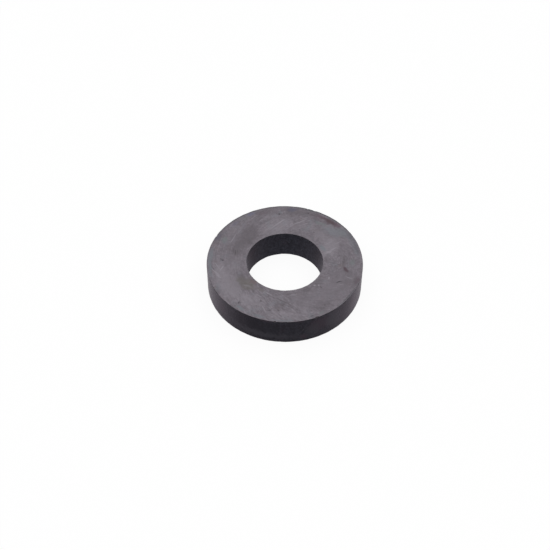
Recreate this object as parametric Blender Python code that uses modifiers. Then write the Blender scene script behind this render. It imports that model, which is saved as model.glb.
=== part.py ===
"""Flat sintered ferrite ring with a plain through bore, lying on one of its two ground pole faces.

The ring is one piece, pressed to shape and fired. Its two flat faces are ground, which leaves them
a lighter grey than the outer wall and the bore, and its four rims are slightly rounded. Ferrite is
brittle, so small shells have broken out of the upper outer rim.

Frame: metres, +Z along the ring's axis, origin at the centre of the lower face.
"""

import math

import bmesh
import bpy
from mathutils import Matrix, Vector

# Driving dimensions
OUTER_DIAMETER = 0.045
BORE_DIAMETER = 0.022
THICKNESS = 0.009
RIM_RADIUS = 0.0002

# Chips in the upper outer rim: the turn from +X in degrees, then the length along the rim, the bite
# into the flat face and the drop down the wall
RIM_CHIPS = {
    "chip_back": (67.0, 0.0015, 0.00024, 0.00035),
    "chip_back_small": (72.5, 0.0008, 0.0002, 0.0003),
    "chip_left": (154.0, 0.0012, 0.00026, 0.0004),
    "chip_front": (263.5, 0.0009, 0.0002, 0.00035),
    "chip_front_right": (294.0, 0.0012, 0.00028, 0.0005),
}

# How far outside the rim's corner a chip's shell is centred, as a share of its bite and its drop
SHELL_OFFSET = 0.5

# Fineness of the round surfaces
RING_STEPS = 144
RIM_SEGMENTS = 3
CHIP_SEGMENTS = 20
CHIP_RINGS = 12
RIM_ANGLE = math.radians(60.0)
WELD_DISTANCE = 0.00001

# Finish: the ground faces are those whose normal stands this upright, as a share of 1
GROUND_GREY = (0.181, 0.163, 0.184, 1.0)
FIRED_GREY = (0.022, 0.021, 0.027, 1.0)
GROUND_UPRIGHTNESS = 0.98
ROUGHNESS = 0.6
METALLIC = 0.0


def clear_scene():
    """Removes whatever the scene holds."""
    for obj in list(bpy.data.objects):
        bpy.data.objects.remove(obj, do_unlink=True)


def new_collection(name):
    """An empty collection of that name, shown in the scene."""
    collection = bpy.data.collections.new(name)
    bpy.context.scene.collection.children.link(collection)
    return collection


def new_object(name, shape, collection):
    """An object of that name, holding the bmesh as its mesh."""
    mesh = bpy.data.meshes.new(name)
    shape.to_mesh(mesh)
    shape.free()
    mesh.shade_smooth()
    obj = bpy.data.objects.new(name, mesh)
    collection.objects.link(obj)
    return obj


def ferrite_material():
    """Ferrite: light grey where a face was ground flat, charcoal where the surface is as fired."""
    material = bpy.data.materials.new("ferrite")
    material.use_nodes = True
    nodes, links = material.node_tree.nodes, material.node_tree.links
    shader = nodes["Principled BSDF"]
    shader.inputs["Roughness"].default_value = ROUGHNESS
    shader.inputs["Metallic"].default_value = METALLIC
    surface = nodes.new("ShaderNodeTexCoord")
    direction = nodes.new("ShaderNodeSeparateXYZ")
    upright = nodes.new("ShaderNodeMath")
    upright.operation = "ABSOLUTE"
    ground = nodes.new("ShaderNodeMath")
    ground.operation = "GREATER_THAN"
    ground.inputs[1].default_value = GROUND_UPRIGHTNESS
    colour = nodes.new("ShaderNodeMix")
    colour.data_type = "RGBA"
    colour.inputs["A"].default_value = FIRED_GREY
    colour.inputs["B"].default_value = GROUND_GREY
    links.new(surface.outputs["Normal"], direction.inputs["Vector"])
    links.new(direction.outputs["Z"], upright.inputs[0])
    links.new(upright.outputs["Value"], ground.inputs[0])
    links.new(ground.outputs["Value"], colour.inputs["Factor"])
    links.new(colour.outputs["Result"], shader.inputs["Base Color"])
    return material


def pressed_ring(collection):
    """The ring without its chips: a rectangle beside the axis, turned round +Z, its rims rounded."""
    outer, inner = OUTER_DIAMETER / 2, BORE_DIAMETER / 2
    corners = [(outer, THICKNESS), (outer, 0.0), (inner, 0.0), (inner, THICKNESS)]
    section = bmesh.new()
    points = [section.verts.new((x, 0.0, z)) for x, z in corners]
    for start, end in zip(points, points[1:] + points[:1]):
        section.edges.new((start, end))
    ring = new_object("ferrite_ring", section, collection)
    turned = ring.modifiers.new("turned", "SCREW")
    turned.axis = "Z"
    turned.angle = math.tau
    turned.steps = RING_STEPS
    turned.render_steps = RING_STEPS
    turned.use_merge_vertices = True
    turned.merge_threshold = WELD_DISTANCE
    rims = ring.modifiers.new("rims", "BEVEL")
    rims.limit_method = "ANGLE"
    rims.angle_limit = RIM_ANGLE
    rims.width = RIM_RADIUS
    rims.segments = RIM_SEGMENTS
    return ring


def add_chip_cutter(name, turn, length, bite, drop, collection):
    """An ellipsoid that scoops a shallow shell out of the upper outer rim.

    Its centre lies outside the rim's corner. It passes through the point bite inwards along the flat
    face, the point drop down the wall, and the points half a length either way along the rim.
    """
    reach = math.hypot(1 + SHELL_OFFSET, SHELL_OFFSET)
    along = length / 2 / math.sqrt(1 - 2 * (SHELL_OFFSET / reach) ** 2)
    semi_axes = Vector((bite * reach, along, drop * reach))
    outer = OUTER_DIAMETER / 2
    centre = Vector((outer + bite * SHELL_OFFSET, 0.0, THICKNESS + drop * SHELL_OFFSET))
    shell = bmesh.new()
    bmesh.ops.create_uvsphere(
        shell,
        u_segments=CHIP_SEGMENTS,
        v_segments=CHIP_RINGS,
        radius=1.0,
        matrix=Matrix.Diagonal(semi_axes.to_4d()),
    )
    cutter = new_object(name, shell, collection)
    cutter.matrix_world = Matrix.Rotation(math.radians(turn), 4, "Z") @ Matrix.Translation(centre)
    cutter.display_type = "WIRE"
    cutter.hide_render = True


def cut_chips(ring, cutters):
    """Breaks every chip out of the ring's rim."""
    for name, sizes in RIM_CHIPS.items():
        add_chip_cutter(name, *sizes, cutters)
    chips = ring.modifiers.new("chips", "BOOLEAN")
    chips.operation = "DIFFERENCE"
    chips.solver = "EXACT"
    chips.operand_type = "COLLECTION"
    chips.collection = cutters


def main():
    clear_scene()
    parts = new_collection("ferrite ring")
    cutters = new_collection("cutters")
    ring = pressed_ring(parts)
    cut_chips(ring, cutters)
    ring.modifiers.new("flat_shading", "WEIGHTED_NORMAL")
    ring.data.materials.append(ferrite_material())


main()
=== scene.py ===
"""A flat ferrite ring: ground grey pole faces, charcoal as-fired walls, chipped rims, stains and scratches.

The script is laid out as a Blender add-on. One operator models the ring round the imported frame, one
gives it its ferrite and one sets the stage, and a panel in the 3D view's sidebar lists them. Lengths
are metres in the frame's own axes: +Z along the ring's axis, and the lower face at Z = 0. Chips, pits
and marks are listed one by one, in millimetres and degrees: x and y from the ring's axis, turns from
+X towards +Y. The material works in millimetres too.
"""

import math
import random
from collections import namedtuple

import bmesh
import bpy
from mathutils import Matrix, Vector, kdtree, noise


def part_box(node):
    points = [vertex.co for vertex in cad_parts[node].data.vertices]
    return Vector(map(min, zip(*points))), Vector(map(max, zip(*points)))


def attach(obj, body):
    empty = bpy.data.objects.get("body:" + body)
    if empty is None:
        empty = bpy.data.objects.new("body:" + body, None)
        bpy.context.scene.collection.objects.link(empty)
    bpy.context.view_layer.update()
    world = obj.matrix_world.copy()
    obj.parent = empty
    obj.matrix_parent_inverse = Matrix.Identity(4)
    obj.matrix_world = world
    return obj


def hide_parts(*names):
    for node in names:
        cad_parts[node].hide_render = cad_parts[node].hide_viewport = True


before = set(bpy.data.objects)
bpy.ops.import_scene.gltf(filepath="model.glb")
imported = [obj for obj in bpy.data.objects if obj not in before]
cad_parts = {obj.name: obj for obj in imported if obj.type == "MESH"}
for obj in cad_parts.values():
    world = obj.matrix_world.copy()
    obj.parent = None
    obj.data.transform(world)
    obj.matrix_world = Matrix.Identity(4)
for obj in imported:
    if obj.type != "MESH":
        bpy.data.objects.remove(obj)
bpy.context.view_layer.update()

bl_info = {
    "name": "Ferrite Ring",
    "version": (1, 0, 0),
    "blender": (4, 5, 0),
    "location": "View3D > Sidebar > Ferrite Ring",
    "description": "Models a ground and chipped ferrite ring and the stage it lies on",
    "category": "Object",
}

NODE = "ferrite_ring"
PIECE = "ferrite_ring_surface"
MM = 0.001

# The solid's own sizes, from which the properties below take their defaults
LOW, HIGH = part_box(NODE)
OUTER_DIAMETER = HIGH.x - LOW.x
THICKNESS = HIGH.z - LOW.z
BORE_DIAMETER = 2 * min(math.hypot(v.co.x, v.co.y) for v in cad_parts[NODE].data.vertices)

# The mesh: steps round the ring and round a rim, rows of faces this far from each corner of the
# section, and even rows between them
RING_STEPS = 900
RIM_STEPS = 4
SUPPORT_ROWS = (0.3 * MM, 0.5 * MM, 0.8 * MM)
ROW_STEP = 1.2 * MM
WELD_DISTANCE = 0.001 * MM
RIM_ANGLE = math.radians(60.0)
SHARP_ANGLE = math.radians(32.0)

# Round each hollow: how often the edges are halved, until how short they are, and how far out from
# its middle as a share of its size
HALVINGS = 4
FINEST_EDGE = 0.07 * MM
HOLLOW_REACH = 1.2

# The attribute that tells the material how broken the surface is, from 0 to 1
BROKEN = "broken"

# Unevenness in waves of noise, each as its share of the depth and how many go to a millimetre. A wall
# also has press streaks, which are long upwards, and a rim and a wall each have an even part
SHELL_WAVES = ((0.16, 1.7), (0.05, 5.0))
RUB_WAVES = ((1.0, 0.7), (0.5, 2.2))
WALL_WAVES = ((0.5, 0.26),)
STREAK_HEIGHT = 0.25
STREAKS_ROUND = 0.9
STREAKS_UP = 0.06
RUB_EVENLY = 0.35
SINK_EVENLY = 0.5

# Chips in the outer rim of the upper face: where, how long, how far they bite into the face and how
# far they drop down the wall. The shell that each leaves has its centre outside the rim's corner, by
# this share of the bite and of the drop
SHELL_OFFSET = 0.5
Chip = namedtuple("Chip", "turn length bite drop")
RIM_CHIPS = [
    Chip(67.0, 1.5, 0.24, 0.35),
    Chip(72.5, 0.8, 0.20, 0.30),
    Chip(154.0, 1.2, 0.26, 0.40),
    Chip(263.5, 0.9, 0.20, 0.35),
    Chip(294.0, 1.2, 0.20, 0.50),
]

# Pits in the upper face, and how broken the surface of any pit is
Pit = namedtuple("Pit", "x y radius depth")
FACE_PITS = [
    Pit(-18.1, 0.4, 0.45, 0.05),
    Pit(-1.9, 19.1, 0.40, 0.05),
    Pit(-12.6, -15.7, 0.36, 0.04),
    Pit(-6.5, -15.1, 0.26, 0.03),
    Pit(-7.7, -17.0, 0.30, 0.04),
    Pit(-3.9, -18.3, 0.30, 0.03),
    Pit(-1.7, -18.3, 0.26, 0.03),
    Pit(-0.1, -16.6, 0.28, 0.03),
    Pit(6.7, 19.4, 0.36, 0.05),
]
PIT_DARKNESS = 0.36

# Tiny chips at random along the rims: the smallest as a share of the longest, how their sizes are
# spread between the two, and their drop as a share of their bite
SMALLEST_NIBBLE = 0.3
NIBBLE_SPREAD = (1.2, 3.5)
NIBBLE_DROPS = (0.8, 1.6)

# Small pores at random on the faces and walls: how far they keep from a rim, their radii in
# millimetres, and what a face's depth and a wall's width and depth are as shares of the radius
PORE_CLEARANCE = 1.0 * MM
PORE_RADII = (0.10, 0.22)
FACE_PORE_DEPTH = 0.2
WALL_PORE_WIDTH = 1.2
WALL_PORE_DEPTH = 0.25

# How far a mark's edge is pushed about, in millimetres
EDGES = {"crisp": 0.4, "soft": 1.4, "rough": 4.0}

# Marks on the upper face, each laid over the ones before it: middle, direction, size, tint, strength
# and kind of edge, which is crisp where none is given
Mark = namedtuple("Mark", "x y turn length width tint strength edge", defaults=["crisp"])
FACE_MARKS = [
    # Calmer ground, where the grinding lines fade
    Mark(14.5, -9.0, 55, 20.0, 11.0, "ground", 0.55, "rough"),
    Mark(6.0, -14.0, 10, 13.0, 8.0, "ground", 0.45, "rough"),
    Mark(-13.5, 9.5, 62, 15.0, 8.0, "ground", 0.45, "rough"),
    Mark(-15.5, 0.0, 88, 12.0, 8.0, "ground", 0.40, "rough"),
    Mark(14.0, 9.0, -50, 16.0, 9.0, "ground", 0.40, "rough"),
    Mark(-15.0, -8.0, -60, 12.0, 9.0, "ground", 0.40, "rough"),
    # Broad lighter and darker ground
    Mark(-2.4, 14.0, 46, 13.0, 8.0, "light", 0.38, "rough"),
    Mark(13.0, 5.6, 68, 11.0, 7.0, "light", 0.50, "rough"),
    Mark(5.0, 13.4, 10, 11.0, 5.0, "light", 0.12, "rough"),
    Mark(10.4, 10.6, -58, 7.0, 4.0, "light", 0.30, "rough"),
    Mark(14.0, 12.4, -30, 8.0, 4.0, "light", 0.26, "rough"),
    Mark(-1.0, -20.4, 0, 14.0, 3.4, "light", 0.26, "rough"),
    Mark(4.4, -20.2, 14, 9.0, 4.0, "light", 0.16, "rough"),
    Mark(-2.4, -19.4, -10, 8.0, 3.4, "light", 0.22, "rough"),
    Mark(-2.2, -13.8, -30, 6.0, 3.2, "light", 0.24, "rough"),
    Mark(5.6, -17.2, 30, 7.0, 4.5, "light", 0.18, "rough"),
    Mark(-15.8, 11.8, 62, 6.6, 3.0, "light", 0.16, "rough"),
    Mark(-14.4, -1.8, 80, 6.6, 5.0, "light", 0.20, "rough"),
    Mark(-18.6, -3.4, 80, 7.0, 4.6, "light", 0.28, "rough"),
    Mark(-10.8, 10.0, 70, 12.0, 6.6, "dark", 0.58, "rough"),
    Mark(-13.8, 4.6, 78, 8.4, 5.0, "dark", 0.52, "rough"),
    Mark(-11.6, 2.4, 80, 5.0, 1.8, "dark", 0.26, "rough"),
    Mark(-9.4, 8.4, 46, 6.0, 2.2, "dark", 0.34, "rough"),
    Mark(-14.4, -9.0, -52, 8.0, 3.0, "dark", 0.20, "rough"),
    Mark(3.4, 19.8, 0, 10.0, 4.6, "dark", 0.48, "rough"),
    Mark(0.6, 21.2, 0, 6.0, 2.4, "dark", 0.40, "rough"),
    Mark(-6.4, 20.0, 17, 11.0, 3.0, "dark", 0.36, "rough"),
    Mark(8.2, 19.2, -24, 4.4, 2.4, "dark", 0.40, "rough"),
    Mark(11.0, -16.4, 40, 6.4, 4.6, "dark", 0.26, "rough"),
    Mark(17.0, 0.8, 88, 5.0, 1.8, "dark", 0.22, "rough"),
    Mark(12.2, 1.4, 84, 4.6, 2.0, "dark", 0.34, "rough"),
    Mark(17.9, -3.8, -66, 5.0, 3.0, "dark", 0.30, "rough"),
    Mark(17.5, -8.0, 70, 7.0, 4.0, "dark", 0.24, "rough"),
    Mark(6.2, -10.8, 30, 6.0, 2.8, "dark", 0.52, "rough"),
    Mark(9.6, -7.8, 50, 6.0, 2.6, "dark", 0.38, "rough"),
    Mark(1.4, -12.2, 8, 5.0, 2.0, "dark", 0.34, "rough"),
    Mark(0.2, -16.2, 80, 3.4, 2.8, "dark", 0.24, "rough"),
    # Fine light scratches at the back
    Mark(-2.6, 14.6, 46, 8.6, 0.50, "light", 0.62),
    Mark(-1.4, 15.8, 43, 4.2, 0.66, "light", 0.78),
    Mark(-5.4, 12.6, 44, 3.6, 0.34, "light", 0.50),
    Mark(-0.6, 14.2, 42, 5.6, 0.34, "light", 0.42),
    Mark(4.6, 16.0, 30, 7.0, 0.60, "light", 0.66),
    Mark(1.2, 13.6, 38, 4.0, 0.30, "light", 0.50),
    Mark(5.6, 17.3, 28, 5.0, 0.40, "light", 0.65),
    Mark(7.2, 16.6, 22, 3.0, 0.34, "light", 0.45),
    # Pale streaks right of the bore
    Mark(11.0, 5.2, -52, 4.4, 1.8, "cool", 0.70, "soft"),
    Mark(12.8, 3.9, 26, 3.2, 1.00, "light", 0.90, "soft"),
    Mark(14.0, 5.1, 30, 2.4, 0.60, "light", 0.90),
    Mark(12.6, 7.4, 32, 3.4, 0.40, "light", 0.60),
    Mark(15.6, 7.6, 40, 2.6, 0.40, "light", 0.45),
    # Scratches on the left
    Mark(-19.6, -4.6, -47, 5.0, 0.60, "light", 0.85),
    Mark(-19.4, -2.0, -58, 4.2, 0.40, "light", 0.70),
    Mark(-20.6, -2.9, -60, 4.2, 0.40, "dark", 0.55),
    Mark(-18.0, -3.0, 64, 3.0, 0.56, "light", 0.95),
    Mark(-18.9, -6.0, -50, 2.6, 0.80, "light", 0.95, "soft"),
    Mark(-15.2, 8.8, 66, 5.6, 0.50, "light", 0.55),
    Mark(-13.6, 11.6, 60, 3.0, 0.34, "light", 0.40),
    # Dark smears, dark spots that are painted shade in six of the pits, and the scratches among them
    Mark(-15.0, 3.6, 86, 3.0, 0.34, "dark", 0.70),
    Mark(-14.4, 3.2, 88, 2.8, 0.60, "dark", 0.98),
    Mark(-13.8, 3.8, 85, 2.2, 0.34, "dark", 0.60),
    # Painted shade: a dark spot over each of the next six pits
    Mark(-18.1, 0.3, 0, 1.2, 1.1, "black", 0.34),
    Mark(-1.85, 19.0, 0, 1.1, 1.0, "dark", 0.50),
    Mark(-7.7, -17.0, 0, 1.0, 0.9, "dark", 0.44),
    Mark(-3.9, -18.3, 0, 1.1, 0.9, "dark", 0.50),
    Mark(-1.7, -18.3, 0, 1.0, 0.9, "dark", 0.44),
    Mark(-6.5, -15.1, 0, 0.9, 0.8, "dark", 0.40),
    Mark(-1.0, -14.7, -30, 6.4, 0.50, "dark", 0.60),
    Mark(-3.6, -13.4, -33, 5.0, 0.40, "dark", 0.50),
    Mark(-4.6, -12.2, -33, 4.4, 0.40, "light", 0.60),
    Mark(-7.0, -13.2, -35, 2.6, 0.50, "light", 0.70),
    Mark(-5.7, -17.8, -67, 4.0, 0.50, "light", 0.65),
    Mark(13.8, -0.4, -19, 5.2, 0.34, "dark", 0.55),
    Mark(15.45, -7.6, 18, 2.6, 0.44, "black", 0.98),
    Mark(15.9, -8.6, 12, 3.0, 0.40, "light", 0.45),
    Mark(18.3, -6.0, -25, 3.0, 0.50, "light", 0.60),
    # Small bright chips of grit by the bore, and a dark spot by the front rim
    Mark(8.5, -9.0, 20, 0.9, 0.6, "light", 0.98),
    Mark(9.7, -8.9, 20, 0.7, 0.6, "light", 0.98),
    Mark(12.6, -6.2, 80, 1.2, 0.6, "light", 0.98),
    Mark(2.6, -12.6, 20, 2.6, 0.7, "light", 0.45, "soft"),
    Mark(11.2, -16.0, 60, 1.0, 0.6, "dark", 0.60, "soft"),
    # Stains
    Mark(-17.7, 8.2, 60, 3.4, 2.2, "teal", 0.62, "soft"),
    Mark(-19.6, 9.2, 66, 4.0, 1.8, "navy", 0.50, "soft"),
    Mark(-10.3, 18.8, 29, 3.8, 1.3, "lilac", 0.66, "soft"),
    Mark(-12.2, 17.3, 35, 4.0, 2.2, "teal", 0.30, "rough"),
    Mark(-15.0, 14.6, 46, 4.4, 1.4, "lilac", 0.30, "soft"),
    Mark(-6.8, 19.2, 18, 4.0, 1.8, "maroon", 0.22, "soft"),
    Mark(14.2, 12.2, -20, 9.0, 4.2, "cool", 0.50, "rough"),
    Mark(10.6, 15.2, -20, 4.0, 1.8, "teal", 0.55, "soft"),
    Mark(16.8, 11.2, -55, 5.0, 3.0, "teal", 0.24, "soft"),
    Mark(15.4, 14.3, -46, 3.0, 1.8, "maroon", 0.70, "soft"),
    Mark(11.0, 17.6, -30, 3.4, 1.3, "rust", 0.45, "soft"),
    Mark(19.4, -0.2, 80, 3.2, 2.2, "teal", 0.56, "soft"),
    Mark(-11.2, -8.6, -45, 8.0, 5.0, "olive", 0.60, "rough"),
    Mark(-6.8, -10.8, -32, 4.6, 1.8, "olive", 0.34, "soft"),
    Mark(-10.0, -9.0, -40, 4.6, 2.6, "olive", 0.34, "soft"),
    Mark(-12.2, -6.2, -50, 3.4, 2.4, "dark", 0.30, "soft"),
    Mark(-10.6, -9.6, -20, 3.6, 0.9, "light", 0.34, "soft"),
    # Rust by the far rim, and the small marks that lie over everything else
    Mark(13.3, 16.1, -38, 4.2, 2.6, "rust", 0.70),
    Mark(14.4, 15.2, -46, 2.8, 1.8, "rust", 0.66, "soft"),
    Mark(12.0, 17.2, -28, 3.0, 1.2, "rust", 0.50, "soft"),
    Mark(12.9, 16.3, -34, 2.6, 1.5, "soot", 0.66),
    Mark(14.0, 15.6, -50, 1.6, 1.0, "soot", 0.45),
    Mark(17.05, 0.6, 88, 4.8, 1.0, "dark", 0.50),
    Mark(17.5, -2.9, -60, 3.2, 1.4, "rust", 0.90),
    Mark(7.7, -20.2, 24, 1.4, 0.44, "black", 0.70),
    Mark(2.0, 20.9, 0, 4.0, 2.2, "navy", 0.55, "soft"),
]

# Marks that run round the upper face: turn, radius, size along and across, and the rest as above
RoundMark = namedtuple("RoundMark", "turn middle length width tint strength edge", defaults=["crisp"])
RIM_MARKS = [
    # Broad lighter ground at the left front of the face
    RoundMark(211.0, 18.6, 24.0, 7.0, "light", 0.50, "rough"),
    RoundMark(240.0, 17.8, 12.0, 6.6, "light", 0.44, "rough"),
    RoundMark(25.0, 21.2, 20.0, 2.6, "cool", 0.34, "soft"),
    RoundMark(20.0, 21.6, 16.0, 2.0, "slate", 0.30, "soft"),
    RoundMark(156.0, 21.4, 9.0, 2.6, "dark", 0.30, "rough"),
    RoundMark(55.0, 20.4, 13.0, 3.4, "rust", 0.24, "rough"),
    RoundMark(44.0, 21.5, 3.6, 1.4, "maroon", 0.50, "soft"),
    RoundMark(61.0, 21.0, 4.6, 1.8, "maroon", 0.30, "rough"),
    RoundMark(222.0, 11.8, 8.0, 1.8, "brown", 0.75, "rough"),
    RoundMark(236.0, 21.4, 3.8, 1.4, "cool", 0.70, "soft"),
    RoundMark(251.0, 21.6, 5.0, 1.4, "cool", 0.60, "soft"),
    RoundMark(176.0, 21.6, 10.0, 1.5, "cool", 0.60, "soft"),
    RoundMark(189.0, 21.6, 9.0, 1.4, "cool", 0.50, "soft"),
    RoundMark(340.5, 21.7, 5.4, 2.6, "dark", 0.55, "soft"),
    RoundMark(341.0, 21.8, 4.4, 1.2, "maroon", 0.34, "soft"),
    RoundMark(277.9, 22.1, 0.9, 0.7, "maroon", 0.70),
    RoundMark(269.5, 22.0, 9.0, 0.9, "cool", 0.60, "soft"),
    RoundMark(298.5, 21.6, 2.6, 1.2, "teal", 0.45, "soft"),
    # Darker bands right along the outer rim of the face
    RoundMark(325.0, 22.2, 9.0, 0.8, "slate", 0.60),
    RoundMark(60.0, 22.3, 36.0, 0.8, "slate", 0.80),
    RoundMark(118.0, 22.3, 44.0, 0.7, "slate", 0.72),
    RoundMark(69.0, 22.1, 4.4, 0.9, "slate", 0.90),
]

# Marks on the outer wall and in the bore: turn, height, size along and upwards
WALL_MARKS = [
    RoundMark(244.0, 5.0, 13.0, 13.0, "char", 0.75, "rough"),
    RoundMark(262.0, 6.0, 8.0, 6.0, "char", 0.25, "rough"),
    RoundMark(296.0, 5.6, 9.0, 7.0, "blush", 0.72, "rough"),
    RoundMark(291.0, 4.0, 5.0, 7.0, "ash", 0.60, "rough"),
    RoundMark(284.0, 2.0, 3.0, 2.8, "blush", 0.80, "soft"),
    RoundMark(257.0, 8.5, 4.4, 1.0, "blush", 0.80, "soft"),
    RoundMark(281.5, 8.5, 3.4, 0.9, "blush", 0.70, "soft"),
    RoundMark(218.0, 5.0, 6.0, 6.0, "blush", 0.45, "rough"),
    RoundMark(330.0, 5.0, 5.0, 7.0, "blush", 0.45, "rough"),
    # A paler band low across the front wall
    RoundMark(256.0, 2.5, 26.0, 3.0, "ash", 0.75, "rough"),
    RoundMark(308.0, 5.4, 8.0, 8.0, "ash", 0.75, "rough"),
]
# The char marks at the bore's two ends are painted shade, where less light gets in from the sides; the
# blush is the bore's own colour
BORE_MARKS = [
    RoundMark(158.0, 4.0, 9.0, 14.0, "char", 0.80, "rough"),
    RoundMark(150.0, 6.4, 6.0, 2.0, "blush", 0.45, "rough"),
    RoundMark(28.0, 5.0, 6.0, 8.0, "char", 0.45, "rough"),
]

# Where the wheel crossed its own arcs again
Oval = namedtuple("Oval", "x y turn length width edge")
CROSSED = Oval(-3.5, -17.0, -6.0, 36.0, 18.0, "rough")

# Light and dark dashes strewn over the mottled front left of the face: how many, from which turn to
# which, between which radii, in which directions they run, and their sizes and strengths
Strewn = namedtuple("Strewn", "count turns radii directions lengths widths strengths")
DASHES = Strewn(30, (222, 284), (13.5, 21.0), (-72, -38), (0.8, 2.6), (0.40, 0.75), (0.2, 0.5))

# Seeds of what is placed at random: the hollows, and the dashes
HOLLOW_SEED = 7
DASH_SEED = 3

# Noises in the ferrite: how many waves go to a millimetre, how many finer layers they have, and how
# strong each layer is beside the one before. DRAWN_OUT is for a place that is already made into arcs
# or streaks, and at NEUTRAL a noise changes nothing
Noise = namedtuple("Noise", "fineness layers strength")
NOISES = {"sand": Noise(4.0, 3.0, 0.65), "mottle": Noise(1.3, 2.0, 0.6), "cloud": Noise(0.3, 3.0, 0.6)}
EDGE_PUSH = Noise(0.8, 3.0, 0.6)
# The glint noise paints glints into a chip's colour, and also gives its relief and roughness
GLINT = Noise(9.0, 3.0, 0.7)
DRAWN_OUT = Noise(1.0, 3.0, 0.6)
NEUTRAL = 0.5

# How far each noise lightens and darkens the ground faces and the fired walls
GROUND_SPREADS = {"cloud": 0.10, "mottle": 0.16, "arcs": 0.16, "crossing": 0.18, "sand": 0.10}
FIRED_SPREADS = {"sand": 0.40, "mottle": 0.35, "streaks": 0.14}

# How high the noises stand in the surface, in millimetres
RELIEF = {"arcs": 0.004, "sand": 0.02, "streaks": 0.012, "glint": 0.05}

# The wheel's two passes: the middle of its arcs, how many go to a millimetre, and how many breaks
# they have to a radian
FIRST_PASS = {"Centre": (10.0, 0.0, 0.0), "Fineness": 2.6, "Breaks": 4.0}
SECOND_PASS = {"Centre": (33.0, 7.0, 0.0), "Fineness": 1.8, "Breaks": 14.0}

# Thin films over the ground faces, each where its noise is high: tint, noise, how far the noise is
# moved, between which of its values the film comes in, and its greatest share
Film = namedtuple("Film", "tint noise moved low high share")
FILMS = [
    Film("cool", Noise(0.35, 4.0, 0.6), (40.0, 0.0, 0.0), 0.52, 0.72, 0.40),
    Film("brown", Noise(0.5, 3.0, 0.6), (0.0, 60.0, 0.0), 0.55, 0.75, 0.30),
]

# Fine pores in the ground faces: how many cells go to a millimetre, in what share of them there is a
# pore, and how dark it shows
FINE_PORES = {"Fineness": 1.1, "Share": 0.22}
FINE_PORE_SHADE = 0.30

# The fired walls: press streaks to a millimetre along each axis, and how much paler and duller the
# bore is than the outer wall. The paleness is painted light: the bore is the same ferrite, made
# paler so that it shows more reflected light
PRESS_STREAKS = (2.2, 2.2, 0.25)
PAINTED_BORE_LIGHT = 1.6
BORE_DULLNESS = 0.13

# Ramps: between which two values they run, and what they give at each, or else 0 and 1. The usual
# range is a noise's own
USUAL_RANGE = (0.25, 0.75)
# The hairline highlights are painted highlights: the light tint laid along the crests of the grinding arcs
HAIRLINE_HIGHLIGHTS = (0.62, 0.74, 0.0, 0.35)
BLOOM = (0.54, 0.74, 0.0, 0.35)
# The glint tone is painted glint: it makes the colour inside a chip from half as bright to over twice as
# bright in spots
PAINTED_GLINT_TONE = (0.35, 0.7, 0.5, 2.2)
GROUND_ROUGHNESS = (0.2, 0.8, 0.48, 0.62)
FIRED_ROUGHNESS = (0.2, 0.8, 0.34, 0.46)
BROKEN_ROUGHNESS = (0.3, 0.7, 0.6, 0.35)
MARK_FADE = (1.0, 0.02)
FINE_PORE_FADE = (0.34, 0.1)

# The ground look fades in between these depths below a face, in millimetres, and the depths waver by a
# ramp of the mottle
GROUND_DEPTHS = (0.13, 0.08)
GROUND_WAVER = (0.3, 0.7, -0.03, 0.03)

# How strongly the ferrite reflects when seen from straight above
SPECULAR = 0.2

# The stage: the floor's gap below the ring, its steps and its dullness, and the camera's sensor width
# in millimetres and nearest sight
FLOOR_GAP = 0.02 * MM
FLOOR_STEPS = 96
FLOOR_ROUGHNESS = 0.9
SENSOR_WIDTH = 36.0
NEAREST_SIGHT = 10 * MM


# Properties


def length(name, description, default):
    return bpy.props.FloatProperty(
        name=name, description=description, default=default, min=0.0, unit="LENGTH", precision=5
    )


def amount(name, description, default, highest=1.0):
    return bpy.props.FloatProperty(
        name=name, description=description, default=default, min=0.0, max=highest
    )


def count(name, description, default):
    return bpy.props.IntProperty(name=name, description=description, default=default, min=0)


def angle(name, description, degrees):
    return bpy.props.FloatProperty(
        name=name, description=description, default=math.radians(degrees), subtype="ANGLE"
    )


def point(name, description, default):
    return bpy.props.FloatVectorProperty(
        name=name, description=description, default=default, subtype="TRANSLATION", precision=6
    )


def colour(name, description, default):
    return bpy.props.FloatVectorProperty(
        name=name, description=description, default=default, subtype="COLOR", min=0.0, max=1.0
    )


class FerriteSizes(bpy.types.PropertyGroup):
    """Sizes of the ring and how far its wear reaches."""

    outer_diameter: length("Outer diameter", "Diameter of the outer wall", OUTER_DIAMETER)
    bore_diameter: length("Bore diameter", "Diameter of the through bore", BORE_DIAMETER)
    thickness: length("Thickness", "Height between the two ground faces", THICKNESS)
    rim_radius: length("Rim radius", "Rounding of the four rims", 0.15 * MM)
    rim_wear: length("Rim wear", "How deep the rims are rubbed away in places", 0.04 * MM)
    wall_waves: length("Wall waves", "Depth of the unevenness of the fired walls", 0.014 * MM)
    nibble_length: length("Nibble length", "Longest of the tiny chips along the rims", 0.55 * MM)
    nibble_bite: length("Nibble bite", "Deepest of the tiny chips along the rims", 0.07 * MM)
    nibbles: count("Nibbles", "Tiny chips along each outer rim", 44)
    pits: count("Pits", "Small pores in each face and wall", 26)


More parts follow.
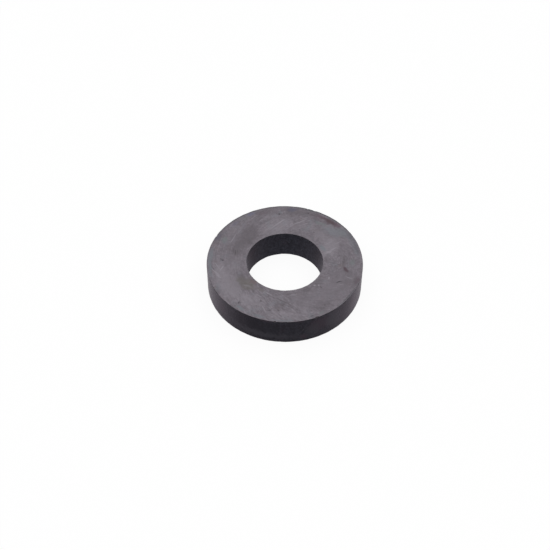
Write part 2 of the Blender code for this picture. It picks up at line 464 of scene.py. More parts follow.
class FerriteColours(bpy.types.PropertyGroup):
    """Colours of the ferrite and of what has marked it."""

    ground: colour("Ground face", "Ferrite where a face was ground flat", (0.154, 0.138, 0.157))
    fired: colour("Fired wall", "Ferrite as it leaves the kiln", (0.0136, 0.0140, 0.0180))
    edge_tint: colour("Wall sheen", "Tint of the walls' sheen at a low angle", (0.90, 0.84, 0.90))
    broken: colour("Broken ferrite", "Fresh surface inside a chip", (0.040, 0.034, 0.040))
    # The light tint is also the painted highlight along the hairlines of the grinding arcs
    light: colour("Light scratch", "Ferrite that was scratched clean", (0.242, 0.223, 0.250))
    # The dark and black tints are also painted shade in six of the face's pits
    dark: colour("Dark streak", "Ferrite that the wheel has smeared", (0.085, 0.075, 0.084))
    black: colour("Black scratch", "Bottom of a deep scratch", (0.040, 0.036, 0.042))
    # Slate gives darker bands along the rims of the face
    slate: colour("Dark rim band", "Darker band along the rims", (0.062, 0.064, 0.072))
    cool: colour("Cool stain", "Blue-grey film", (0.150, 0.165, 0.185))
    teal: colour("Green stain", "Green-grey film", (0.142, 0.158, 0.162))
    navy: colour("Blue stain", "Dark blue film", (0.085, 0.084, 0.125))
    lilac: colour("Lilac stain", "Violet-blue film", (0.128, 0.128, 0.180))
    rust: colour("Rust", "Red-brown smear", (0.072, 0.048, 0.059))
    soot: colour("Sooty rust", "Dark middle of the rust", (0.074, 0.053, 0.054))
    maroon: colour("Maroon stain", "Dark red film", (0.105, 0.070, 0.090))
    olive: colour("Olive stain", "Oily brown-green film", (0.110, 0.102, 0.092))
    brown: colour("Brown stain", "Brown film beside the bore", (0.128, 0.100, 0.100))
    blush: colour("Wall blush", "Red-violet bloom on the fired walls", (0.025, 0.0185, 0.0245))
    # Char gives darker patches on the outer wall, and painted shade at the two ends of the bore
    char: colour("Wall char", "Darker patches on the fired walls", (0.0070, 0.0074, 0.0100))
    # Ash gives paler patches on the outer wall, and a paler band low across its front
    ash: colour("Wall ash", "Paler patches on the fired walls", (0.026, 0.026, 0.031))


class FerriteStage(bpy.types.PropertyGroup):
    """The floor, the light and the camera."""

    floor_colour: colour("Floor", "Colour of the floor", (0.97, 0.97, 0.97))
    floor_radius: length("Floor radius", "Reach of the floor round the ring", 1.5)
    backdrop: amount("Backdrop", "How white the floor shows to the camera", 0.92)
    key_strength: amount("Key light", "Strength of the wide light overhead", 2.0, 10.0)
    key_width: angle("Key width", "Width of the light overhead", 90.0)
    fill_strength: amount("Fill light", "Strength of the light from all round", 0.35)
    camera_place: point("Camera place", "Where the camera stands", (0.0, -0.212226, 0.243686))
    camera_target: point("Camera target", "What the camera looks at", (-0.002845, 0.002604, 0.0))
    camera_roll: angle("Camera roll", "Turn of the camera about its own view", 0.183)
    camera_lens: bpy.props.FloatProperty(
        name="Lens",
        description="Focal length on a sensor 36 mm wide",
        default=71.923,
        subtype="DISTANCE_CAMERA",
    )


# Meshes and objects


def mesh_of(name, shape):
    """The bmesh as a mesh of that name. The bmesh is freed."""
    mesh = bpy.data.meshes.new(name)
    shape.to_mesh(mesh)
    shape.free()
    return mesh


def add_object(name, data):
    """A new object of that name in the scene, holding a mesh, a lamp or a lens."""
    made = bpy.data.objects.new(name, data)
    bpy.context.scene.collection.objects.link(made)
    return made


# The ring's shape


def side_points(start, end):
    """Points between two corners of the section: support rows near both, even rows between them."""
    span = (end - start).length
    inner_span = span - 2 * SUPPORT_ROWS[-1]
    rows = round(inner_span / ROW_STEP)
    near = list(SUPPORT_ROWS)
    between = [SUPPORT_ROWS[-1] + inner_span * i / rows for i in range(1, rows)]
    far = [span - distance for distance in reversed(SUPPORT_ROWS)]
    return [start.lerp(end, distance / span) for distance in near + between + far]


def turned_ring(sizes):
    """The ring's rectangular section turned round +Z, with its four rims rounded."""
    outer, inner, height = sizes.outer_diameter / 2, sizes.bore_diameter / 2, sizes.thickness
    corners = [Vector((x, 0, z)) for x, z in ((outer, 0), (outer, height), (inner, height), (inner, 0))]
    shape = bmesh.new()
    outline = []
    for start, end in zip(corners, corners[1:] + corners[:1]):
        outline += [shape.verts.new(place) for place in [start, *side_points(start, end)]]
    for start, end in zip(outline, outline[1:] + outline[:1]):
        shape.edges.new((start, end))
    bmesh.ops.spin(
        shape,
        geom=shape.verts[:] + shape.edges[:],
        axis=(0, 0, 1),
        cent=(0, 0, 0),
        angle=math.tau,
        steps=RING_STEPS,
        use_merge=True,
    )
    bmesh.ops.remove_doubles(shape, verts=shape.verts, dist=WELD_DISTANCE)
    bmesh.ops.recalc_face_normals(shape, faces=shape.faces)
    rims = [edge for edge in shape.edges if edge.calc_face_angle(0) > RIM_ANGLE]
    bmesh.ops.bevel(
        shape,
        geom=rims,
        offset=sizes.rim_radius,
        offset_type="OFFSET",
        segments=RIM_STEPS,
        profile=0.5,
        affect="EDGES",
        material=-1,
    )
    return shape


def rim_shell(radius, outward, level, upward, chip):
    """The matrix that takes a unit ball to the shell that a chip leaves in one rim.

    outward is 1 on the outer wall and -1 in the bore, and upward is 1 on the upper face and -1 on the
    lower. The shell meets the flat face a bite inwards from the rim, and the wall a drop away from it.
    """
    bite, drop = chip.bite * MM, chip.drop * MM
    reach = math.hypot(1 + SHELL_OFFSET, SHELL_OFFSET)
    along = chip.length * MM / 2 / math.sqrt(1 - 2 * (SHELL_OFFSET / reach) ** 2)
    centre = Vector((radius + outward * bite * SHELL_OFFSET, 0, level + upward * drop * SHELL_OFFSET))
    turn = Matrix.Rotation(math.radians(chip.turn), 4, "Z")
    return turn @ Matrix.Translation(centre) @ Matrix.Diagonal((bite * reach, along, drop * reach, 1))


def pit_shell(place, normal, radius, depth):
    """The matrix that takes a unit ball to the ball that presses a shallow pit into a face or wall."""
    ball = (radius**2 + depth**2) / (2 * depth)
    centre = Vector(place) + Vector(normal) * (ball - depth)
    return Matrix.Translation(centre) @ Matrix.Diagonal((ball, ball, ball, 1))


def all_rims(sizes):
    """The four rims as (radius, outward, level, upward)."""
    for radius, outward in ((sizes.outer_diameter / 2, 1), (sizes.bore_diameter / 2, -1)):
        for level, upward in ((sizes.thickness, 1), (0.0, -1)):
            yield radius, outward, level, upward


def chip_shells(sizes, dice):
    """Every chip's shell: the large ones, and tiny ones at random along all four rims."""
    outer = sizes.outer_diameter / 2
    shells = [rim_shell(outer, 1, sizes.thickness, 1, chip) for chip in RIM_CHIPS]
    for radius, outward, level, upward in all_rims(sizes):
        for _ in range(round(sizes.nibbles * radius / outer)):
            size = SMALLEST_NIBBLE + (1 - SMALLEST_NIBBLE) * dice.betavariate(*NIBBLE_SPREAD)
            bite = size * sizes.nibble_bite / MM
            turn, drop = dice.uniform(0, 360), bite * dice.uniform(*NIBBLE_DROPS)
            chip = Chip(turn, size * sizes.nibble_length / MM, bite, drop)
            shells.append(rim_shell(radius, outward, level, upward, chip))
    return shells


def pit_shells(sizes, dice):
    """Every pit's shell: the ones placed by hand, and small pores at random on the faces and walls."""
    outer, inner, height = sizes.outer_diameter / 2, sizes.bore_diameter / 2, sizes.thickness
    radii = (inner + PORE_CLEARANCE, outer - PORE_CLEARANCE)
    heights = (PORE_CLEARANCE, height - PORE_CLEARANCE)
    shells = [
        pit_shell((pit.x * MM, pit.y * MM, height), (0, 0, 1), pit.radius * MM, pit.depth * MM)
        for pit in FACE_PITS
    ]
    for _ in range(sizes.pits):
        size = dice.uniform(*PORE_RADII) * MM
        for level, upward in ((height, 1), (0.0, -1)):
            radius, turn = dice.uniform(*radii), dice.uniform(0, math.tau)
            place = (radius * math.cos(turn), radius * math.sin(turn), level)
            shells.append(pit_shell(place, (0, 0, upward), size, size * FACE_PORE_DEPTH))
        for radius, outward in ((outer, 1), (inner, -1)):
            turn = dice.uniform(0, math.tau)
            away = Vector((math.cos(turn), math.sin(turn), 0))
            place = away * radius + Vector((0, 0, dice.uniform(*heights)))
            pore = pit_shell(place, away * outward, size * WALL_PORE_WIDTH, size * WALL_PORE_DEPTH)
            shells.append(pore)
    return shells


def tree_of(shape):
    """The vertices in a tree that finds the ones near a point."""
    tree = kdtree.KDTree(len(shape.verts))
    shape.verts.ensure_lookup_table()
    for index, vert in enumerate(shape.verts):
        tree.insert(vert.co, index)
    tree.balance()
    return tree


def verts_in(shape, tree, shell):
    """Each vertex inside the shell, or a little outside it, with its place on the shell's unit ball."""
    back = shell.inverted()
    for _, index, _ in tree.find_range(shell.translation, max(shell.to_scale()) * HOLLOW_REACH):
        vert = shape.verts[index]
        inside = back @ vert.co
        if inside.length < HOLLOW_REACH:
            yield vert, inside


def refine(shape, shells):
    """Halves the edges round the shells, until they are short enough to show a crisp hollow."""
    for _ in range(HALVINGS):
        tree = tree_of(shape)
        near = {vert for shell in shells for vert, _ in verts_in(shape, tree, shell)}
        long_edges = [edge for edge in shape.edges if edge.calc_length() > FINEST_EDGE]
        edges = [edge for edge in long_edges if not near.isdisjoint(edge.verts)]
        bmesh.ops.subdivide_edges(shape, edges=edges, cuts=1, use_grid_fill=True)


def unevenness(spot, waves):
    """The waves of noise at a spot, added up. The spot is in millimetres."""
    return sum(height * noise.noise(spot * fineness) for height, fineness in waves)


def scoop(shape, shells, darkness):
    """Presses the surface inside each shell out to the shell, and marks it as broken."""
    broken = shape.verts.layers.float[BROKEN]
    tree = tree_of(shape)
    for shell in shells:
        for vert, inside in verts_in(shape, tree, shell):
            rough = 1 + unevenness(vert.co / MM, SHELL_WAVES)
            if inside.length < rough:
                vert.co = shell @ (inside.normalized() * rough)
                vert[broken] = darkness


def rub_depth(sizes, spot, from_corner):
    """How deep a rim is rubbed at a spot, given how far that is from the rim's corner."""
    at_rim = max(0.0, 1 - from_corner / (2 * sizes.rim_radius))
    return sizes.rim_wear * at_rim * max(0.0, RUB_EVENLY + unevenness(spot, RUB_WAVES))


def wall_depth(sizes, spot, from_wall, from_face):
    """How deep a wall has sunk at a spot. It hasn't beside a rim, and a face never has."""
    if from_wall >= sizes.rim_radius or from_face <= sizes.rim_radius:
        return 0.0
    ease = min(1.0, (from_face - sizes.rim_radius) / (2 * sizes.rim_radius))
    streak = noise.noise(Vector((spot.x * STREAKS_ROUND, spot.y * STREAKS_ROUND, spot.z * STREAKS_UP)))
    sunk = SINK_EVENLY + unevenness(spot, WALL_WAVES) + STREAK_HEIGHT * streak
    return max(0.0, sizes.wall_waves * ease * sunk)


def wear(shape, sizes):
    """Rubs the rims unevenly and lets the fired walls wave a little, always into the ring."""
    outer, inner, height = sizes.outer_diameter / 2, sizes.bore_diameter / 2, sizes.thickness
    for vert in shape.verts:
        radius = math.hypot(vert.co.x, vert.co.y)
        from_wall = min(outer - radius, radius - inner)
        from_face = min(vert.co.z, height - vert.co.z)
        outward = 1 if outer - radius < radius - inner else -1
        upward = 1 if vert.co.z > height / 2 else -1
        away = Vector((vert.co.x, vert.co.y, 0)).normalized() * outward
        spot = vert.co / MM
        rub = rub_depth(sizes, spot, math.hypot(from_wall, from_face))
        sunk = wall_depth(sizes, spot, from_wall, from_face)
        vert.co -= away * (rub + sunk) + Vector((0, 0, upward * rub))


class OBJECT_OT_ferrite_ring(bpy.types.Operator):
    """Models the ring: turned section, rounded and rubbed rims, chips and pits"""

    bl_idname = "object.ferrite_ring"
    bl_label = "Ring"

    def execute(self, context):
        sizes = context.scene.ferrite_sizes
        dice = random.Random(HOLLOW_SEED)
        shape = turned_ring(sizes)
        shape.verts.layers.float.new(BROKEN)
        chips, pits = chip_shells(sizes, dice), pit_shells(sizes, dice)
        refine(shape, chips[: len(RIM_CHIPS)] + pits)
        wear(shape, sizes)
        scoop(shape, pits, PIT_DARKNESS)
        scoop(shape, chips, 1.0)
        bmesh.ops.triangulate(shape, faces=[face for face in shape.faces if len(face.verts) > 4])
        mesh = mesh_of(PIECE, shape)
        mesh.shade_smooth()
        mesh.set_sharp_from_angle(angle=SHARP_ANGLE)
        ring = add_object(PIECE, mesh)
        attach(ring, "root")
        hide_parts(NODE)
        return {"FINISHED"}


# Shader wiring


class Wiring:
    """Adds nodes to a shader tree. An input that is given a socket is linked, and any other is set."""

    def __init__(self, tree):
        self.tree = tree

    def feed(self, socket, value):
        if isinstance(value, bpy.types.NodeSocket):
            self.tree.links.new(value, socket)
        else:
            socket.default_value = value

    def node(self, kind, inputs=None, **settings):
        made = self.tree.nodes.new(kind if kind.startswith("NodeGroup") else "ShaderNode" + kind)
        for name, value in settings.items():
            setattr(made, name, value)
        for name, value in (inputs or {}).items():
            self.feed(made.inputs[name], value)
        return made

    def math(self, operation, *values, clamp=False):
        made = self.node("Math", dict(enumerate(values)), operation=operation, use_clamp=clamp)
        return made.outputs["Value"]

    def vector(self, operation, *values, **named):
        made = self.node("VectorMath", {**dict(enumerate(values)), **named}, operation=operation)
        return made.outputs["Value" if operation in ("LENGTH", "DOT_PRODUCT") else "Vector"]

    def split(self, vector):
        return self.node("SeparateXYZ", {"Vector": vector}).outputs

    def join(self, x=0.0, y=0.0, z=0.0):
        return self.node("CombineXYZ", {"X": x, "Y": y, "Z": z}).outputs["Vector"]

    def flat_length(self, vector):
        """The vector's length in plan."""
        return self.vector("LENGTH", self.vector("MULTIPLY", vector, (1.0, 1.0, 0.0)))

    def up(self, vector):
        return self.split(vector)["Z"]

    def ramp(self, value, low, high, to_low=0.0, to_high=1.0):
        """Goes smoothly from to_low to to_high as the value goes from low to high."""
        sizes = {"Value": value, "From Min": low, "From Max": high, "To Min": to_low, "To Max": to_high}
        return self.node("MapRange", sizes, interpolation_type="SMOOTHSTEP").outputs["Result"]

    def noise(self, place, grain):
        sizes = {"Scale": grain.fineness, "Detail": grain.layers, "Roughness": grain.strength}
        return self.node("TexNoise", {"Vector": place, **sizes}).outputs

    def mix(self, share, below, above):
        made = self.node("Mix", {"Factor": share, "A": below, "B": above}, data_type="RGBA")
        return made.outputs["Result"]

    def blend(self, share, below, above):
        made = self.node("Mix", {"Factor": share, "A": below, "B": above}, data_type="FLOAT")
        return made.outputs["Result"]

    def use(self, group, **inputs):
        """One use of a node group, its inputs given by name with _ for a space."""
        made = self.node("Group", node_tree=group)
        for name, value in inputs.items():
            self.feed(made.inputs[name.replace("_", " ")], value)
        return made.outputs[0]


def new_group(name, output, **inputs):
    """An empty shader node group, as its wiring, its inputs and its output's socket."""
    tree = bpy.data.node_groups.new(name, "ShaderNodeTree")
    for label, kind in inputs.items():
        socket = label.replace("_", " ")
        tree.interface.new_socket(socket, in_out="INPUT", socket_type="NodeSocket" + kind)
    tree.interface.new_socket(output, in_out="OUTPUT", socket_type="NodeSocketFloat")
    wiring = Wiring(tree)
    return wiring, wiring.node("NodeGroupInput").outputs, wiring.node("NodeGroupOutput").inputs[output]


def soft_mask(wiring, along, across):
    """1 in the middle of a mark and 0 at its outline, which lies at 1 both along and across it."""
    squared = wiring.math("MULTIPLY_ADD", along, along, wiring.math("MULTIPLY", across, across))
    return wiring.ramp(squared, *MARK_FADE)


def face_mark_group():
    """An oval mark on a flat face. Place is (x, y, 1), and Along and Across take it to 1 at the outline."""
    wiring, given, result = new_group("face mark", "Mask", Place="Vector", Along="Vector", Across="Vector")
    along = wiring.vector("DOT_PRODUCT", given["Place"], given["Along"])
    across = wiring.vector("DOT_PRODUCT", given["Place"], given["Across"])
    wiring.feed(result, soft_mask(wiring, along, across))
    return wiring.tree


def round_mark_group():
    """A mark that runs round the ring, at a radius or a height. Facing points to it from the axis."""
    wiring, given, result = new_group(
        "round mark",
        "Mask",
        Place="Vector",
        Facing="Vector",
        Sideways="Vector",
        Half_Turn="Float",
        Level="Float",
        Middle="Float",
        Half_Width="Float",
    )
    ahead = wiring.vector("DOT_PRODUCT", given["Place"], given["Facing"])
    aside = wiring.vector("DOT_PRODUCT", given["Place"], given["Sideways"])
    along = wiring.math("DIVIDE", wiring.math("ARCTAN2", aside, ahead), given["Half Turn"])
    above = wiring.math("SUBTRACT", given["Level"], given["Middle"])
    across = wiring.math("DIVIDE", above, given["Half Width"])
    wiring.feed(result, soft_mask(wiring, along, across))
    return wiring.tree


def grinding_group():
    """Fine arcs left by a grinding wheel that turned about Centre: low is dark and high is light."""
    wiring, given, result = new_group(
        "grinding arcs", "Lines", Place="Vector", Centre="Vector", Fineness="Float", Breaks="Float"
    )
    from_centre = wiring.vector("SUBTRACT", given["Place"], given["Centre"])
    parts = wiring.split(from_centre)
    radius = wiring.math("MULTIPLY", wiring.flat_length(from_centre), given["Fineness"])
    turn = wiring.math("MULTIPLY", wiring.math("ARCTAN2", parts["Y"], parts["X"]), given["Breaks"])
    wiring.feed(result, wiring.noise(wiring.join(radius, turn, parts["Z"]), DRAWN_OUT)["Fac"])
    return wiring.tree


def pores_group():
    """Scattered round pores, 1 at the middle of each."""
    wiring, given, result = new_group("pores", "Mask", Place="Vector", Fineness="Float", Share="Float")
    cells = wiring.node("TexVoronoi", {"Vector": given["Place"], "Scale": given["Fineness"]}).outputs
    chance = wiring.node("SeparateColor", {"Color": cells["Color"]}).outputs["Red"]
    chosen = wiring.math("LESS_THAN", chance, given["Share"])
    spot = wiring.ramp(cells["Distance"], *FINE_PORE_FADE)
    wiring.feed(result, wiring.math("MULTIPLY", spot, chosen))
    return wiring.tree


def opaque(rgb):
    return (*rgb, 1.0)


def directions(turn):
    """The direction at a turn in plan, and the one a quarter turn on from it."""
    x, y = math.cos(math.radians(turn)), math.sin(math.radians(turn))
    return Vector((x, y, 0.0)), Vector((-y, x, 0.0))


# The ferrite

Look = namedtuple("Look", "colour roughness metallic relief")


class Surface:
    """What the looks of the ferrite share: the wiring, groups, colours and noises, and where a place is."""

    def __init__(self, wiring, sizes, colours):
        self.wiring, self.colours = wiring, colours
        self.place = wiring.vector("SCALE", wiring.node("TexCoord").outputs["Object"], Scale=1 / MM)
        self.height = wiring.up(self.place)
        self.radius = wiring.flat_length(self.place)
        self.thickness = sizes.thickness / MM
        self.outer, self.inner = sizes.outer_diameter / 2 / MM, sizes.bore_diameter / 2 / MM
        self.upper = wiring.math("GREATER_THAN", self.height, self.thickness / 2)
        self.outside = wiring.math("GREATER_THAN", self.radius, (self.outer + self.inner) / 2)
        self.inside = wiring.math("SUBTRACT", 1.0, self.outside)
        self.noises = {name: wiring.noise(self.place, grain)["Fac"] for name, grain in NOISES.items()}
        self.face_mark, self.round_mark = face_mark_group(), round_mark_group()
        push = wiring.vector("SUBTRACT", wiring.noise(self.place, EDGE_PUSH)["Color"], (NEUTRAL,) * 3)
        self.pushed, self.flat = {}, {}
        for edge, reach in EDGES.items():
            pushed = wiring.vector("ADD", self.place, wiring.vector("SCALE", push, Scale=reach))
            self.pushed[edge] = pushed
            self.flat[edge] = wiring.vector("MULTIPLY_ADD", pushed, (1.0, 1.0, 0.0), (0.0, 0.0, 1.0))

    def tint(self, name):
        """One of the colours, as a shader takes it."""
        return opaque(getattr(self.colours, name))

    def shade(self, tone, spreads, noises):
        """The tone, made lighter and darker by each noise in turn, as far as its spread."""
        for name, spread in spreads.items():
            lighter = self.wiring.ramp(noises[name], *USUAL_RANGE, 1 - spread, 1 + spread)
            tone = self.wiring.math("MULTIPLY", tone, lighter)
        return tone

    def lay(self, below, mark, mask, only):
        """The colour below with the mark's tint over it, only on one part of the ring."""
        share = self.wiring.math("MULTIPLY", self.wiring.math("MULTIPLY", mask, mark.strength), only)
        return self.wiring.mix(share, below, self.tint(mark.tint))

    def oval(self, mark):
        """The mask of a mark or an oval on a flat face."""
        facing, sideways = directions(mark.turn)
        middle = Vector((mark.x, mark.y, 0.0))
        return self.wiring.use(
            self.face_mark,
            Place=self.flat[mark.edge],
            Along=Vector((facing.x, facing.y, -facing.dot(middle))) * 2 / mark.length,
            Across=Vector((sideways.x, sideways.y, -sideways.dot(middle))) * 2 / mark.width,
        )

    def lay_face_marks(self, below, marks):
        """The colour below with marks on the upper face over it."""
        for mark in marks:
            below = self.lay(below, mark, self.oval(mark), self.upper)
        return below

    def lay_round(self, below, marks, level, radius, only):
        """The colour below with marks round the ring over it. Their lengths count at the radius.

        level is the function that gives a place's radius or height.
        """
        levels = {edge: level(place) for edge, place in self.pushed.items()}
        for mark in marks:
            facing, sideways = directions(mark.turn)
            mask = self.wiring.use(
                self.round_mark,
                Place=self.pushed[mark.edge],
                Facing=facing,
                Sideways=sideways,
                Half_Turn=mark.length / 2 / radius,
                Level=levels[mark.edge],
                Middle=mark.middle,
                Half_Width=mark.width / 2,
            )
            below = self.lay(below, mark, mask, only)
        return below


def strewn_marks(strewn, dice):
    """Small light and dark marks at random over part of the upper face."""
    marks = []
    for _ in range(strewn.count):
        facing, _ = directions(dice.uniform(*strewn.turns))
        middle = facing * dice.uniform(*strewn.radii)
        turn, length = dice.uniform(*strewn.directions), dice.uniform(*strewn.lengths)
        width, tint = dice.uniform(*strewn.widths), dice.choice(("light", "dark"))
        strength = dice.uniform(*strewn.strengths)
        marks.append(Mark(middle.x, middle.y, turn, length, width, tint, strength))
    return marks


def ground_look(surface):
    """The flat faces: grinding arcs, mottling, thin films, fine pores, and the listed marks."""
    wiring, place = surface.wiring, surface.place
    grinding = grinding_group()
    arcs = wiring.use(grinding, Place=place, **FIRST_PASS)
    crossing = wiring.use(grinding, Place=place, **SECOND_PASS)
    crossing = wiring.blend(surface.oval(CROSSED), NEUTRAL, crossing)
    noises = {**surface.noises, "arcs": arcs, "crossing": crossing}
    tone = surface.shade(1.0, GROUND_SPREADS, noises)
    below = wiring.vector("SCALE", tuple(surface.colours.ground), Scale=tone)
    # Painted hairline highlights: the light tint over the crests of the grinding arcs
    below = wiring.mix(wiring.ramp(arcs, *HAIRLINE_HIGHLIGHTS), below, surface.tint("light"))
    for film in FILMS:
        spread = wiring.noise(wiring.vector("ADD", place, film.moved), film.noise)["Fac"]
        share = wiring.ramp(spread, film.low, film.high, 0.0, film.share)
        below = wiring.mix(share, below, surface.tint(film.tint))
    below = surface.lay_face_marks(below, FACE_MARKS + strewn_marks(DASHES, random.Random(DASH_SEED)))
    below = surface.lay_round(below, RIM_MARKS, wiring.flat_length, surface.outer, surface.upper)
    holes = wiring.use(pores_group(), Place=place, **FINE_PORES)
    below = wiring.mix(wiring.math("MULTIPLY", holes, FINE_PORE_SHADE), below, surface.tint("dark"))
    relief = wiring.math("MULTIPLY", arcs, RELIEF["arcs"])
    return Look(below, wiring.ramp(arcs, *GROUND_ROUGHNESS), 0.0, relief)


def fired_look(surface):
    """The walls: near black, with a violet sheen at a low angle, faint press streaks and bloom."""
    wiring = surface.wiring
    streaks = wiring.noise(wiring.vector("MULTIPLY", surface.place, PRESS_STREAKS), DRAWN_OUT)["Fac"]
    noises = {**surface.noises, "streaks": streaks}
    # The bore's paler colour is painted reflected light; it is the same ferrite as the outer wall
    tone = surface.shade(wiring.blend(surface.outside, PAINTED_BORE_LIGHT, 1.0), FIRED_SPREADS, noises)
    below = wiring.vector("SCALE", tuple(surface.colours.fired), Scale=tone)
    below = wiring.mix(wiring.ramp(noises["cloud"], *BLOOM), below, surface.tint("blush"))
    below = surface.lay_round(below, WALL_MARKS, wiring.up, surface.outer, surface.outside)
    below = surface.lay_round(below, BORE_MARKS, wiring.up, surface.inner, surface.inside)
    duller = wiring.blend(surface.outside, BORE_DULLNESS, 0.0)
    roughness = wiring.math("ADD", wiring.ramp(noises["sand"], *FIRED_ROUGHNESS), duller)
    heights = [wiring.math("MULTIPLY", noises[name], RELIEF[name]) for name in ("sand", "streaks")]
    return Look(below, roughness, 1.0, wiring.math("ADD", *heights))


def broken_look(surface):
    """Inside a chip: dark and rough, with glints painted into its colour."""
    wiring = surface.wiring
    glint = wiring.noise(surface.place, GLINT)["Fac"]
    # Painted glints: the noise lightens and darkens the chip's colour in spots
    tone = wiring.ramp(glint, *PAINTED_GLINT_TONE)
    below = wiring.vector("SCALE", tuple(surface.colours.broken), Scale=tone)
    relief = wiring.math("MULTIPLY", glint, RELIEF["glint"])
    return Look(below, wiring.ramp(glint, *BROKEN_ROUGHNESS), 0.0, relief)


def over(wiring, share, below, above):
    """One look laid over another."""
    return Look(
        wiring.mix(share, below.colour, above.colour),
        wiring.blend(share, below.roughness, above.roughness),
        wiring.blend(share, below.metallic, above.metallic),
        wiring.blend(share, below.relief, above.relief),
    )


def ferrite(sizes, colours):
    """Ferrite, ground on its two faces and round their rims, broken in chips and fired on its walls."""
    material = bpy.data.materials.new("ferrite")
    material.use_nodes = True
    wiring = Wiring(material.node_tree)
    surface = Surface(wiring, sizes, colours)
    from_top = wiring.math("SUBTRACT", surface.thickness, surface.height)
    depth = wiring.math("MINIMUM", surface.height, from_top)
    wavering = wiring.math("ADD", depth, wiring.ramp(surface.noises["mottle"], *GROUND_WAVER))
    is_ground = wiring.ramp(wavering, *GROUND_DEPTHS)
    is_broken = wiring.node("Attribute", attribute_name=BROKEN).outputs["Fac"]
    look = over(wiring, is_ground, fired_look(surface), ground_look(surface))
    look = over(wiring, is_broken, look, broken_look(surface))
    shader = material.node_tree.nodes["Principled BSDF"]
    bump = wiring.node("Bump", {"Height": look.relief, "Distance": MM})
    wiring.feed(shader.inputs["Base Color"], look.colour)
    wiring.feed(shader.inputs["Roughness"], look.roughness)
    wiring.feed(shader.inputs["Metallic"], look.metallic)
    wiring.feed(shader.inputs["Normal"], bump.outputs["Normal"])
    shader.inputs["Specular IOR Level"].default_value = SPECULAR
    shader.inputs["Specular Tint"].default_value = opaque(colours.edge_tint)
    return material


class OBJECT_OT_ferrite_finish(bpy.types.Operator):
    """Gives the ring its ferrite: ground faces, fired walls and broken chips"""

    bl_idname = "object.ferrite_finish"
    bl_label = "Finish"

    def execute(self, context):
        ring = bpy.data.objects[PIECE]
        ring.data.materials.append(ferrite(context.scene.ferrite_sizes, context.scene.ferrite_colours))
        return {"FINISHED"}


# The stage


def seen_directly(wiring):
    """1 for a ray from the camera, off a glossy surface or through glass, and 0 for any other."""
    path = wiring.node("LightPath").outputs
    seen = wiring.math("ADD", path["Is Camera Ray"], path["Is Glossy Ray"], clamp=True)
    return wiring.math("ADD", seen, path["Is Transmission Ray"], clamp=True)


def add_floor(stage):
    """A matt disc that shows nearly white, but still takes the ring's shadow."""
    material = bpy.data.materials.new("floor")
    material.use_nodes = True
    wiring = Wiring(material.node_tree)
    paper = material.node_tree.nodes["Principled BSDF"]
    paper.inputs["Base Color"].default_value = opaque(stage.floor_colour)
    paper.inputs["Roughness"].default_value = FLOOR_ROUGHNESS
    paper.inputs["Specular IOR Level"].default_value = 0.0
    white = wiring.node("Emission", {"Strength": 1.0}).outputs["Emission"]
    share = wiring.math("MULTIPLY", seen_directly(wiring), stage.backdrop)
    both = wiring.node("MixShader", {0: share, 1: paper.outputs["BSDF"], 2: white}).outputs["Shader"]
    wiring.feed(material.node_tree.nodes["Material Output"].inputs["Surface"], both)

    shape = bmesh.new()
    bmesh.ops.create_circle(
        shape,
        cap_ends=True,
        segments=FLOOR_STEPS,
        radius=stage.floor_radius,
        matrix=Matrix.Translation((0, 0, -FLOOR_GAP)),
    )
    floor = add_object("floor", mesh_of("floor", shape))
    floor.data.materials.append(material)


def add_light(stage):
    """One wide light overhead, and an even white surround."""
    lamp = bpy.data.lights.new("key light", "SUN")
    lamp.energy = stage.key_strength
    lamp.angle = stage.key_width
    add_object("key light", lamp)
    world = bpy.data.worlds.new("studio")
    world.use_nodes = True
    wiring = Wiring(world.node_tree)
    background = world.node_tree.nodes["Background"]
    background.inputs["Color"].default_value = (1.0, 1.0, 1.0, 1.0)
    strength = wiring.blend(seen_directly(wiring), stage.fill_strength, 1.0)
    wiring.feed(background.inputs["Strength"], strength)
    bpy.context.scene.world = world


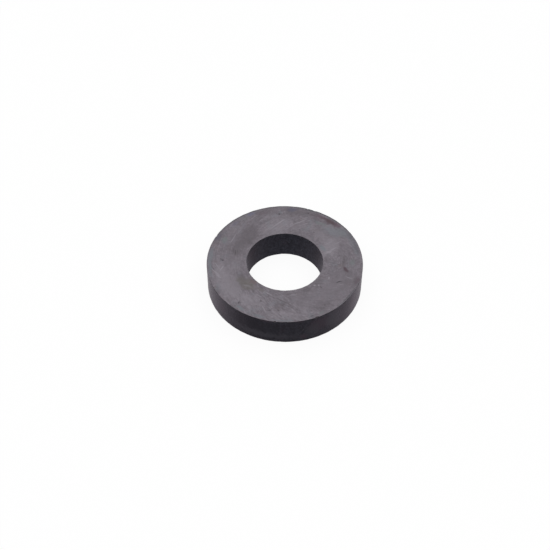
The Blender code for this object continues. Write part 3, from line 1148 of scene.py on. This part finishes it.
def add_camera(stage):
    """A long lens that looks down at the ring from the front."""
    lens = bpy.data.cameras.new("camera")
    lens.lens = stage.camera_lens
    lens.sensor_width = SENSOR_WIDTH
    lens.clip_start = NEAREST_SIGHT
    camera = add_object("camera", lens)
    place, target = Vector(stage.camera_place), Vector(stage.camera_target)
    turn = (target - place).to_track_quat("-Z", "Y").to_matrix().to_4x4()
    camera.matrix_world = Matrix.Translation(place) @ turn @ Matrix.Rotation(stage.camera_roll, 4, "Z")
    bpy.context.scene.camera = camera


class OBJECT_OT_ferrite_stage(bpy.types.Operator):
    """Makes the floor, the light and the camera"""

    bl_idname = "object.ferrite_stage"
    bl_label = "Stage"

    def execute(self, context):
        stage = context.scene.ferrite_stage
        add_floor(stage)
        add_light(stage)
        add_camera(stage)
        context.scene.view_settings.view_transform = "Standard"
        return {"FINISHED"}


# The panel, and what is registered

STEPS = (
    (OBJECT_OT_ferrite_ring, "ferrite_sizes", FerriteSizes),
    (OBJECT_OT_ferrite_finish, "ferrite_colours", FerriteColours),
    (OBJECT_OT_ferrite_stage, "ferrite_stage", FerriteStage),
)


class VIEW3D_PT_ferrite_ring(bpy.types.Panel):
    """Lists the operators, each with what it can be given"""

    bl_idname = "VIEW3D_PT_ferrite_ring"
    bl_label = "Ferrite Ring"
    bl_space_type = "VIEW_3D"
    bl_region_type = "UI"
    bl_category = "Ferrite Ring"

    def draw(self, context):
        for operator, settings, group in STEPS:
            box = self.layout.box()
            box.operator(operator.bl_idname)
            for name in group.__annotations__:
                box.prop(getattr(context.scene, settings), name)


def register():
    for operator, settings, group in STEPS:
        bpy.utils.register_class(group)
        setattr(bpy.types.Scene, settings, bpy.props.PointerProperty(type=group))
        bpy.utils.register_class(operator)
    bpy.utils.register_class(VIEW3D_PT_ferrite_ring)


def unregister():
    bpy.utils.unregister_class(VIEW3D_PT_ferrite_ring)
    for operator, settings, group in reversed(STEPS):
        bpy.utils.unregister_class(operator)
        delattr(bpy.types.Scene, settings)
        bpy.utils.unregister_class(group)


def main():
    register()
    bpy.ops.object.ferrite_ring()
    bpy.ops.object.ferrite_finish()
    bpy.ops.object.ferrite_stage()


if __name__ == "__main__":
    main()
